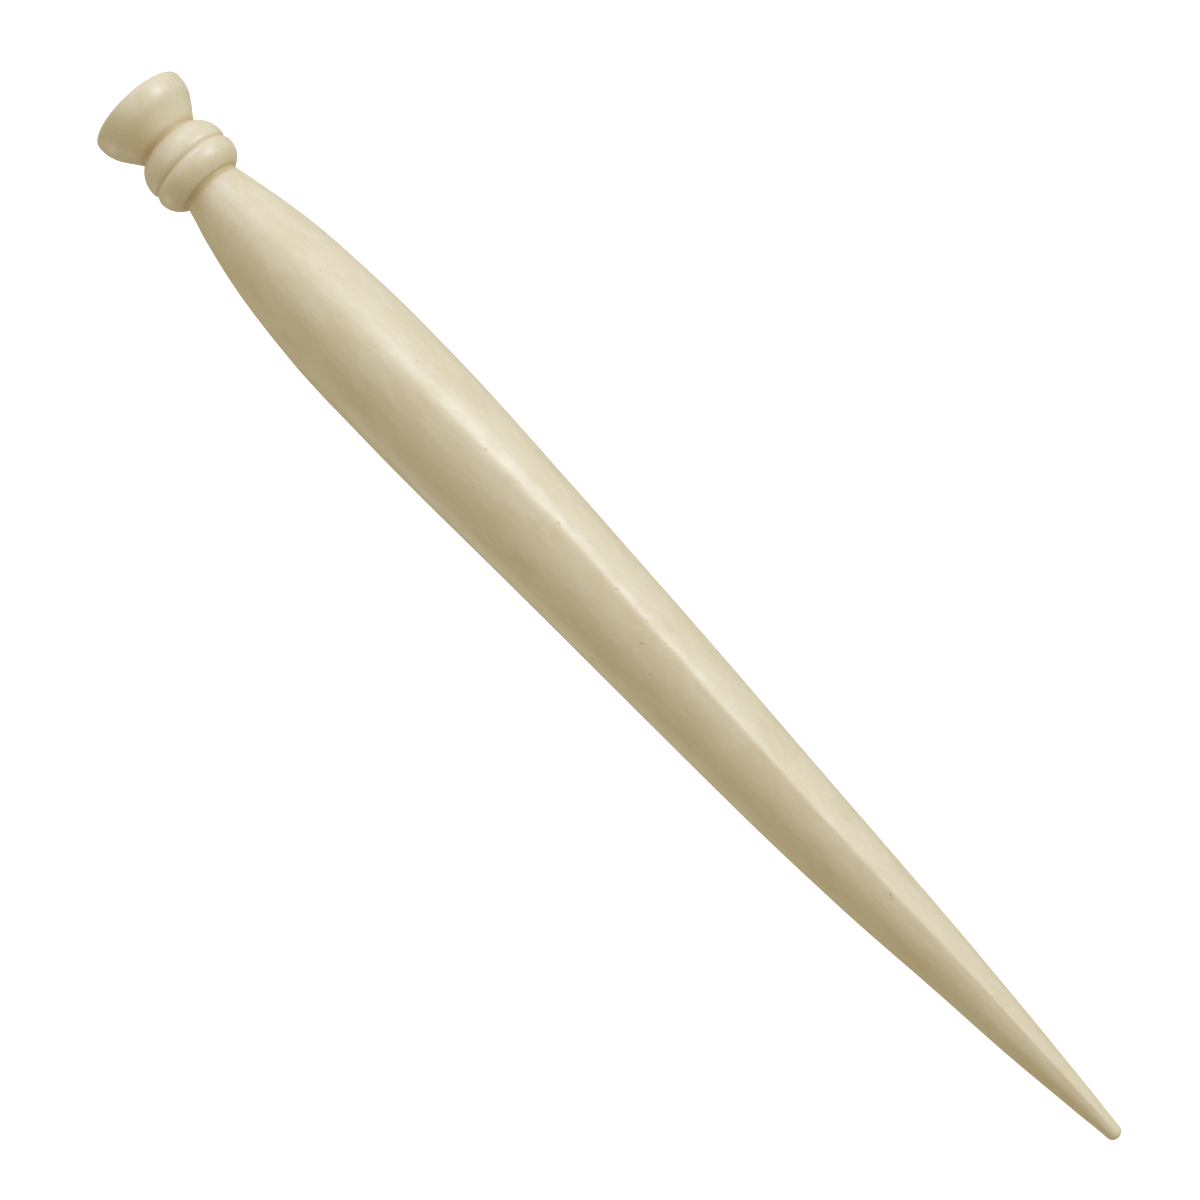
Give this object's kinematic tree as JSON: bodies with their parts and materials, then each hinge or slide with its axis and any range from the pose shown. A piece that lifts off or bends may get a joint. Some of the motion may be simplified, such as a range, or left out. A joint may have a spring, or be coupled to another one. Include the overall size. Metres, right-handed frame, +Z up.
{
  "type": "drop spindle",
  "caption": "Hand-spinning shaft of polished bone in one piece: flared flat-ended head, ring beads between necks, swelling belly and a long soft-ridged taper to a blunt tip.",
  "frame": {"origin": "middle of the bottom of the box, on the surface that the spindle lies on", "axes": "+X along the shaft from the flat face of the head to the blunt tip, +Z up with one soft flat side of the body down, +Y across"},
  "size_m": [0.16, 0.0135, 0.0134],
  "materials": {
    "bone": "satin"
  },
  "bodies": {
    "root": {"spindle": "bone"}
  },
  "joints": []
}
